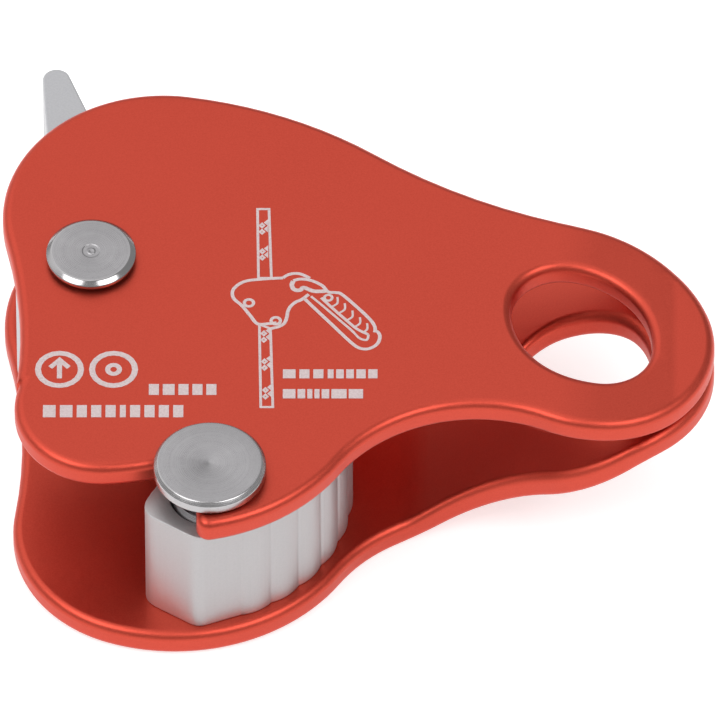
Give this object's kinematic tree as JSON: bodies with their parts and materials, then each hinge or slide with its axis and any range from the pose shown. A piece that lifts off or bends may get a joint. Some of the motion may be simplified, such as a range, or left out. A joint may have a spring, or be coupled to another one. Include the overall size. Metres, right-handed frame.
{
  "type": "rope-grab ascender",
  "caption": "Rope-grab ascender: two stepped cheek plates, one of them swinging open, with a sprung cam and thumb tail, a ribbed anvil and an oval attachment eye.",
  "frame": {"origin": "on the axis of the attachment eye, midway between the outer faces of the two cheek plates", "axes": "+X from the pivots towards the attachment eye, +Z along the pivots towards the swinging front plate"},
  "size_m": [0.0845, 0.0758, 0.0252],
  "materials": {
    "anodised_plate": "satin anodised, orange red",
    "cast_cam": "satin, machined faces",
    "extruded_anvil": "fine blasted, natural",
    "turned_pin": "turned face, polished rim",
    "steel_hardware": "plain",
    "thrust_washer": "plain moulded"
  },
  "bodies": {
    "rear_body": {"rear_plate": "anodised_plate", "anvil_block": "extruded_anvil", "pivot_rivet": "turned_pin", "pivot_sleeve": "steel_hardware", "pivot_washer": "steel_hardware", "front_thrust_washer": "thrust_washer", "rear_thrust_ring": "thrust_washer", "cam_spring": "steel_hardware", "cam_stop_pin": "steel_hardware", "latch_pin": "turned_pin", "anvil_screws": "steel_hardware"},
    "front_body": {"front_plate": "anodised_plate"},
    "cam_body": {"cam": "cast_cam"}
  },
  "joints": [
    {"name": "front_plate_swing", "type": "hinge", "parent": "rear_body", "child": "front_body", "pos_m": [-0.05825, 0.01005, 0], "axis": [0, 0, 1], "range_deg": [0, 150]},
    {"name": "cam_open", "type": "hinge", "parent": "rear_body", "child": "cam_body", "pos_m": [-0.05825, 0.01005, 0], "axis": [0, 0, -1], "range_deg": [0, 50], "stiffness_Nm_per_rad": 0.05, "springref_deg": -45.84, "deforming": ["cam_spring"]}
  ]
}
